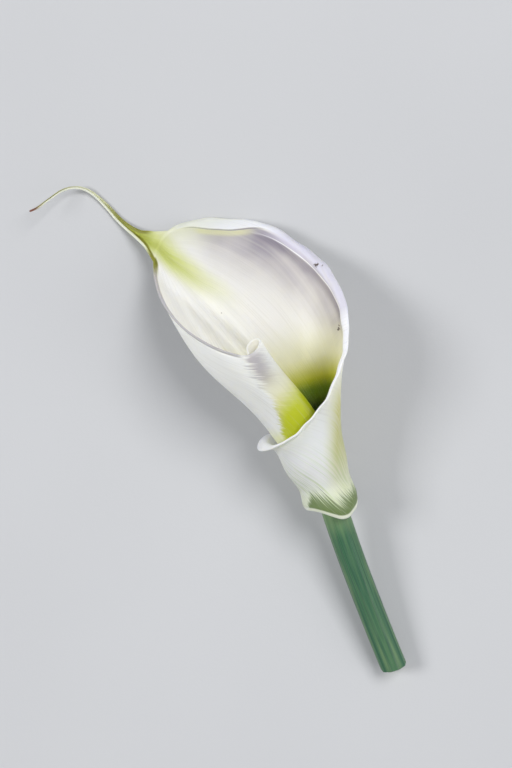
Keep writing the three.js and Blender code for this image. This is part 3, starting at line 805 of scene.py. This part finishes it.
def stalk_material():
    skin = Skin("stalk_tissue", 0.4, subsurface=0.12, reach=0.001)
    height, turn, cut, skinward = (skin.fact(name) for name in ("height", "turn", "cut", "skinward"))
    fine = skin.vector(turn * 0.28, height * 0.012, 1.0).noise(1.0, 3.0, 0.6)
    broad = skin.vector(turn * 0.035, height * 0.02, 4.0).noise(1.0, 2.0)
    colour = fine.ease(0.35, 0.65).tint(STALK_DARK, STALK_GREEN)
    colour = (broad.ease(0.4, 0.7) * 0.35).tint(colour, STALK_PALE)
    colour = (height.ease(-12, 3) * 0.45).tint(colour, STALK_PALE)
    fibres = skin.place.cells(1500.0)
    flesh = fibres.ease(0.12, 0.3).tint(FIBRE, PITH)
    flesh = (skinward.ease(0.91, 0.96) * 0.6).tint(flesh, STALK_GREEN)
    colour = cut.ease(0.4, 0.6).tint(colour, flesh)
    relief = fine * 0.6 + skin.place.noise(1400.0, 2.0) * 0.2
    return skin.finish(colour, broad.ease(0.3, 0.7, 0.36, 0.48), relief, 0.0001)


OVARY_VALLEY = linear(120, 138, 52)
OVARY_CROWN = linear(206, 214, 140)
POLLEN_VALLEY = linear(206, 146, 28)
POLLEN_CROWN = linear(252, 214, 92)


def bead_material(name, valley, crown, roughness, grain):
    """Tissue of the spadix: darker between its florets, lighter and powdery on top of them."""
    skin = Skin(name, roughness, subsurface=0.15, reach=0.0008)
    lift = skin.fact("lift")
    mottle = skin.place.noise(420.0, 3.0)
    colour = (lift * mottle.ease(0.2, 0.7, 0.7, 1.1)).tint(valley, crown)
    powder = skin.place.noise(grain, 2.0)
    return skin.finish(colour, powder.ease(0.3, 0.7, roughness - 0.05, roughness + 0.1), powder, 0.00008)


# ---------------------------------------------------------------- the stalk and the spadix

STALK = [
    (-72.0, 5.4, 3.1, 5.5), (-54.0, 4.1, 2.0, 5.5), (-36.0, 3.0, 1.0, 5.5), (-18.0, 2.2, 0.3, 5.55),
    (-3.0, 1.9, 0.0, 5.6), (6.8, 1.9, 0.0, 5.4), (7.8, 1.9, 0.0, 4.6),
]
FEMALE = [
    (8.1, 1.7, 0.0, 4.2), (9.3, 1.6, 0.0, 4.9), (13.0, 1.1, 0.0, 5.0), (17.0, 0.5, -0.1, 4.7),
    (19.0, 0.3, -0.2, 4.3),
]
MALE = [
    (19.3, 0.3, -0.2, 4.0), (20.3, 0.2, -0.2, 4.35), (32.0, -1.0, -0.4, 4.4), (44.0, -2.3, -0.7, 4.1),
    (53.0, -3.4, -1.0, 3.3), (57.0, -3.9, -1.1, 2.1), (58.4, -4.1, -1.2, 0.9),
]
MALE_TIP = (58.75, -4.15, -1.2, 0.15)
STALK_SIDES = 120
STALK_ROWS = 190
STALK_SHRINK = 0.02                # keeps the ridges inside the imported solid's size
STALK_RIDGES = 9
STALK_RIDGE = 0.12
RIDGE_TWIST = 0.006                # radians for each mm of height
STALK_FIBRES = 23                  # finer lines between the ridges
STALK_FIBRE = 0.05
FIBRE_TWIST = 0.05
CUT_BEVEL = 0.45
CUT_RINGS = np.array([             # the cut end sinks a little towards its middle
    # part of the radius, depth, 1 on the flesh and 0 on the skin
    (0.05, 0.35, 1), (0.30, 0.30, 1), (0.55, 0.20, 1), (0.75, 0.08, 1),
    (0.88, 0.00, 1), (0.93, 0.00, 0.5), (0.97, 0.12, 0),
])
CORE_SIDES = 48
CORE_ROWS = 60
CORE_FOOT = (0.2, 0.7)             # rings that close its foot, as parts of the first one
CORE_TIP = [(0.6, 0.048), (0.2, 0.096)]     # rings that close its tip, and how far each rises

# The florets of the two parts: radius, heights between which they stand, lobes, the nub or the dimple
# on top in parts of the radius, facets round and up one of them, and the seed of their sizes.
OVARIES = {
    "bead": 1.15, "low": 9.2, "high": 18.4, "lobes": 3, "nub": 0.3, "dimple": 0,
    "sides": 12, "rows": 6, "seed": 3,
}
POLLEN = {
    "bead": 0.55, "low": 19.9, "high": 58.7, "lobes": 4, "nub": 0, "dimple": 0.12,
    "sides": 8, "rows": 5, "seed": 8,
}
NUB_REACH = 0.28                   # radians from the top of a floret
DIMPLE_REACH = 0.45
FLORET_LOBING = 0.10               # how far its lobes and how high its dome stand out, in radii
FLORET_RISE = 0.8
FLORET_ARC = (0.02, 0.6)           # where its first ring lies and how far the others reach, in half turns
FLORET_SIZES = (0.88, 1.08)
FLORET_SPACE = 3.05                # skin taken by one floret, in squares of its radius
GOLDEN_TURN = 137.508
SPIRAL_STEPS = 4000


def round_body(stations, sides, rows, shrink=0.0, raise_by=None):
    """Rings of points through stations of height, x, z and radius, their turns and their middles."""
    spots = (len(stations) - 1) * np.arange(rows + 1) / rows
    y, x, z, radius = smooth_rows(stations, spots).T
    turn = -360 * np.arange(sides) / sides
    reach = (radius - shrink)[:, None] + np.zeros(sides)
    if raise_by is not None:
        reach = reach + raise_by(turn[None, :], y[:, None])
    middle = np.stack([x, y, z], -1)
    return middle[:, None] + outwards(turn)[None] * reach[:, :, None], turn, middle


def closed_rings(rings):
    """Points and faces of a body made of rings, with a face over each end ring."""
    rows, sides = rings.shape[:2]
    index = np.arange(rows * sides).reshape(rows, sides)
    after = np.roll(index, -1, axis=1)
    quads = np.stack([index[:-1], after[:-1], after[1:], index[1:]], -1).reshape(-1, 4)
    quads = [tuple(q) for q in quads.tolist()]
    quads += [tuple(index[0, ::-1].tolist()), tuple(index[-1].tolist())]
    return rings.reshape(-1, 3), quads


def make_stalk(material):
    """The stalk with its ridges, and the bevelled, slightly sunken cut at its end."""
    def ridges(turn, y):
        a = np.radians(turn)
        ridge = STALK_RIDGE * np.cos(STALK_RIDGES * a + RIDGE_TWIST * y)
        return ridge + STALK_FIBRE * np.sin(STALK_FIBRES * a + FIBRE_TWIST * y)

    rings, turn, middle = round_body(STALK, STALK_SIDES, STALK_ROWS, STALK_SHRINK, ridges)
    part, sink, cut = CUT_RINGS.T
    up = np.array([0, 1.0, 0])
    ends = middle[0] + (rings[0] - middle[0]) * part[:, None, None] + up * sink[:, None, None]
    rings[0] += up * CUT_BEVEL
    points, faces = closed_rings(np.concatenate([ends, rings]))
    facts = {
        "height": np.concatenate([middle[:1, 1].repeat(len(ends)), middle[:, 1]]).repeat(STALK_SIDES),
        "turn": np.tile(np.abs(turn + 180), len(ends) + len(rings)),
        "cut": np.concatenate([cut, np.zeros(len(rings))]).repeat(STALK_SIDES),
        "skinward": np.concatenate([part, np.ones(len(rings))]).repeat(STALK_SIDES),
    }
    return make_object("stalk", points, faces, facts, material, "peduncle")


def spiral_places(stations, kind):
    """Places and outward directions of florets set in a golden spiral on a round body."""
    spots = np.linspace(0, len(stations) - 1, SPIRAL_STEPS)
    y, x, z, radius = smooth_rows(stations, spots).T
    girth = np.pi * (radius[1:] + radius[:-1])
    area = np.concatenate([[0], np.cumsum(girth * np.hypot(np.diff(y), np.diff(radius)))])
    kept = area[(y > kind["low"]) & (y < kind["high"])]
    count = int((kept[-1] - kept[0]) / (FLORET_SPACE * kind["bead"] ** 2))
    wanted = kept[0] + (np.arange(count) + 0.5) / count * (kept[-1] - kept[0])
    here = np.interp(wanted, area, spots)
    slope = np.interp(here, spots, np.gradient(radius) / np.gradient(y))
    y, x, z, radius = smooth_rows(stations, here).T
    out = outwards(GOLDEN_TURN * np.arange(count))
    normal = unit(out - slope[:, None] * np.array([0, 1.0, 0]))
    return np.stack([x, y, z], -1) + out * radius[:, None], normal


def floret_mesh(name, kind):
    """One floret: a low knob with shallow lobes, and a small nub or a dimple on top."""
    radius, sides, rows = kind["bead"], kind["sides"], kind["rows"]
    points = []
    for r in range(rows + 1):
        angle = math.pi * (FLORET_ARC[0] + FLORET_ARC[1] * r / rows)
        nub = kind["nub"] * math.exp(-(angle / NUB_REACH) ** 2)
        dimple = kind["dimple"] * math.exp(-(angle / DIMPLE_REACH) ** 2)
        height = radius * (FLORET_RISE * math.cos(angle) + nub - dimple)
        for s in range(sides):
            a = 2 * math.pi * s / sides
            lobing = 1 + FLORET_LOBING * math.cos(kind["lobes"] * a) * math.sin(angle)
            reach = radius * math.sin(angle) * lobing
            points.append((reach * math.cos(a), reach * math.sin(a), height))
    faces = [tuple(range(sides))]
    for r in range(rows):
        for s in range(sides):
            n = (s + 1) % sides
            faces.append((r * sides + s, (r + 1) * sides + s, (r + 1) * sides + n, r * sides + n))
    faces.append(tuple(reversed(range(rows * sides, (rows + 1) * sides))))
    mesh = bpy.data.meshes.new(name)
    mesh.from_pydata([tuple(0.001 * v for v in p) for p in points], [], faces)
    lift = mesh.attributes.new("lift", "FLOAT", "POINT")
    lift.data.foreach_set("value", np.repeat(np.linspace(1.0, 0.0, rows + 1), sides).astype(np.float32))
    mesh.shade_smooth()
    piece = bpy.data.objects.new(name, mesh)
    bpy.context.collection.objects.link(piece)
    return piece


def floret_nodes(material):
    """A node group that sets a floret on every point, standing along the point's own direction."""
    group = bpy.data.node_groups.new("florets", "GeometryNodeTree")
    interface = group.interface
    interface.new_socket("Places", in_out="INPUT", socket_type="NodeSocketGeometry")
    interface.new_socket("Floret", in_out="INPUT", socket_type="NodeSocketObject")
    interface.new_socket("Smallest", in_out="INPUT", socket_type="NodeSocketFloat")
    interface.new_socket("Largest", in_out="INPUT", socket_type="NodeSocketFloat")
    interface.new_socket("Seed", in_out="INPUT", socket_type="NodeSocketInt")
    interface.new_socket("Florets", in_out="OUTPUT", socket_type="NodeSocketGeometry")
    nodes, links = group.nodes, group.links
    given = nodes.new("NodeGroupInput")
    result = nodes.new("NodeGroupOutput")
    shape = nodes.new("GeometryNodeObjectInfo")
    links.new(given.outputs["Floret"], shape.inputs["Object"])
    facing = nodes.new("GeometryNodeInputNamedAttribute")
    facing.data_type = "FLOAT_VECTOR"
    facing.inputs["Name"].default_value = "facing"
    stand = nodes.new("FunctionNodeAlignRotationToVector")
    stand.axis = "Z"
    links.new(facing.outputs["Attribute"], stand.inputs["Vector"])
    size = nodes.new("FunctionNodeRandomValue")
    size.data_type = "FLOAT"
    float_inputs = [s for s in size.inputs if s.type == "VALUE"]
    links.new(given.outputs["Smallest"], float_inputs[0])
    links.new(given.outputs["Largest"], float_inputs[1])
    links.new(given.outputs["Seed"], size.inputs["Seed"])
    setting = nodes.new("GeometryNodeInstanceOnPoints")
    links.new(given.outputs["Places"], setting.inputs["Points"])
    links.new(shape.outputs["Geometry"], setting.inputs["Instance"])
    links.new(stand.outputs["Rotation"], setting.inputs["Rotation"])
    random_float = [s for s in size.outputs if s.type == "VALUE"][0]
    links.new(random_float, setting.inputs["Scale"])
    real = nodes.new("GeometryNodeRealizeInstances")
    links.new(setting.outputs["Instances"], real.inputs["Geometry"])
    paint = nodes.new("GeometryNodeSetMaterial")
    paint.inputs["Material"].default_value = material
    links.new(real.outputs["Geometry"], paint.inputs["Geometry"])
    links.new(paint.outputs["Geometry"], result.inputs["Florets"])
    return group


def make_florets(name, stations, kind, material, node):
    """All florets of one part of the spadix, as one mesh."""
    places, normals = spiral_places(stations, kind)
    guide = bpy.data.meshes.new(name + "_places")
    guide.from_pydata(lay_down(places).tolist(), [], [])
    turned = lay_down(places + normals) - lay_down(places)
    facing = guide.attributes.new("facing", "FLOAT_VECTOR", "POINT")
    facing.data.foreach_set("vector", (turned * 1000).astype(np.float32).ravel())
    guide_object = bpy.data.objects.new(name + "_places", guide)
    bpy.context.collection.objects.link(guide_object)
    floret = floret_mesh(name + "_one", kind)
    modifier = guide_object.modifiers.new("florets", "NODES")
    modifier.node_group = floret_nodes(material)
    keys = {item.name: item.identifier for item in modifier.node_group.interface.items_tree}
    modifier[keys["Floret"]] = floret
    modifier[keys["Smallest"]], modifier[keys["Largest"]] = FLORET_SIZES
    modifier[keys["Seed"]] = kind["seed"]
    bpy.context.view_layer.update()
    graph = bpy.context.evaluated_depsgraph_get()
    mesh = bpy.data.meshes.new_from_object(guide_object.evaluated_get(graph))
    mesh.name = name
    bpy.data.objects.remove(guide_object)
    bpy.data.objects.remove(floret)
    return add_piece(name, mesh, node)


def make_core(name, stations, shrink, material, node):
    """The flesh under the florets."""
    rings, _, middle = round_body(stations, CORE_SIDES, CORE_ROWS, shrink)
    foot = [middle[0] + (rings[0] - middle[0]) * part for part in CORE_FOOT]
    tip = [middle[-1] + (rings[-1] - middle[-1]) * part + np.array([0, rise, 0])
           for part, rise in CORE_TIP]
    points, faces = closed_rings(np.concatenate([foot, rings, tip]))
    return make_object(name, points, faces, {"lift": np.zeros(len(points))}, material, node)


# ---------------------------------------------------------------- the flower

def spot_place(turn, part):
    """Where a spot of the sheet lies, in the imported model's metres."""
    column = round(place_of_turn(turn) / (len(RIBS) - 1) * COLUMNS)
    return tuple(map(float, lay_down(sheet_points[column * (ROWS + 1) + round(part * ROWS)])))


sheet_points, sheet_quads, sheet_facts = spathe_sheet()
sheet_points = press_flat(relief(sheet_points, sheet_quads, sheet_facts))
spathe_points, spathe_quads, spathe_facts = thicken(sheet_points, sheet_quads, sheet_facts)
spathe_facts["height"] = spathe_points[:, 1]

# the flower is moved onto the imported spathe, so that every piece stands where its node does
packed_low, packed_high = (np.array(corner) * 1000 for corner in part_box("spathe"))
laid = lay_down(spathe_points) * 1000
flower_offset = ((packed_low - laid.min(0)) + (packed_high - laid.max(0))) / 2
flower_offset[2] = packed_low[2] - laid.min(0)[2]

bruises = [(spot_place(turn, part), radius * 0.001) for turn, part, radius in BRUISES]
white_skin = spathe_material(bruises)
make_object("white_spathe", spathe_points, spathe_quads, spathe_facts, white_skin, "spathe")
make_stalk(stalk_material())
ovary_skin = bead_material("spadix_foot_tissue", OVARY_VALLEY, OVARY_CROWN, 0.5, 900.0)
make_core("spadix_foot", FEMALE, 0.5, ovary_skin, "spadix_female")
make_florets("ovaries", FEMALE, OVARIES, ovary_skin, "spadix_female")
pollen_skin = bead_material("spadix_pollen_tissue", POLLEN_VALLEY, POLLEN_CROWN, 0.75, 2400.0)
make_core("spadix_top", MALE, 0.35, pollen_skin, "spadix_male")
make_florets("pollen_florets", MALE + [MALE_TIP], POLLEN, pollen_skin, "spadix_male")

# ---------------------------------------------------------------- floor, lights and camera

FLOOR_HALF = 9.0
FLOOR_GREY = linear(188, 189, 191)
FLOOR_PALE = linear(194, 195, 197)
SKY = (0.9, 0.93, 1.0, 1.0)
SKY_STRENGTH = 0.28
LIGHTS = [
    # name, place, target, size in metres, watts
    ("key", (-1.25, 0.45, 1.3), (0, 0, 0.02), 0.6, 18.5),
    ("top", (0.9, 0.4, 1.7), (0, 0, 0), 1.0, 24.0),
    ("fill", (1.6, -0.9, 1.2), (0, 0, 0.02), 1.4, 8.0),
]


def make_floor():
    mesh = bpy.data.meshes.new("floor")
    corners = [(-1, -1), (1, -1), (1, 1), (-1, 1)]
    mesh.from_pydata([(x * FLOOR_HALF, y * FLOOR_HALF, 0) for x, y in corners], [], [(0, 1, 2, 3)])
    skin = Skin("floor_paper", 0.85)
    cloud = skin.place.noise(3.0, 3.0)
    colour = cloud.ease(0.3, 0.7).tint(FLOOR_GREY, FLOOR_PALE)
    mesh.materials.append(skin.finish(colour, None, skin.place.noise(900.0, 2.0), 0.00003))
    floor = bpy.data.objects.new("floor", mesh)
    bpy.context.collection.objects.link(floor)


def make_light(name, place, target, size, power):
    data = bpy.data.lights.new(name, "AREA")
    data.shape = "SQUARE"
    data.size = size
    data.energy = power
    light = bpy.data.objects.new(name, data)
    light.location = place
    light.rotation_euler = (Vector(target) - Vector(place)).to_track_quat("-Z", "Y").to_euler()
    bpy.context.collection.objects.link(light)


def make_camera():
    """The camera sees the flower as the photograph does."""
    camera_to_flower = flower_to_camera().transposed()
    left = (IMAGE_SIZE[0] / 2 - STALK_TOP_PIXEL[0]) * MM_PER_PIXEL
    down = (STALK_TOP_PIXEL[1] - IMAGE_SIZE[1] / 2) * MM_PER_PIXEL
    eye = lay_down(camera_to_flower @ Vector((left, down, VIEW_DISTANCE)))
    turn = Matrix.Rotation(REST_PITCH, 3, "X") @ camera_to_flower
    data = bpy.data.cameras.new("camera")
    data.sensor_width = SENSOR
    data.lens = SENSOR * VIEW_DISTANCE / (IMAGE_SIZE[1] * MM_PER_PIXEL)
    data.clip_start = NEAREST_SEEN
    camera = bpy.data.objects.new("camera", data)
    camera.matrix_world = Matrix.Translation(Vector(eye)) @ turn.to_4x4()
    bpy.context.collection.objects.link(camera)
    bpy.context.scene.camera = camera


make_floor()
make_camera()
for light in LIGHTS:
    make_light(*light)
world = bpy.data.worlds.new("studio")
world.use_nodes = True
sky = world.node_tree.nodes["Background"]
sky.inputs["Color"].default_value = SKY
sky.inputs["Strength"].default_value = SKY_STRENGTH
bpy.context.scene.world = world
bpy.context.scene.view_settings.view_transform = "Standard"
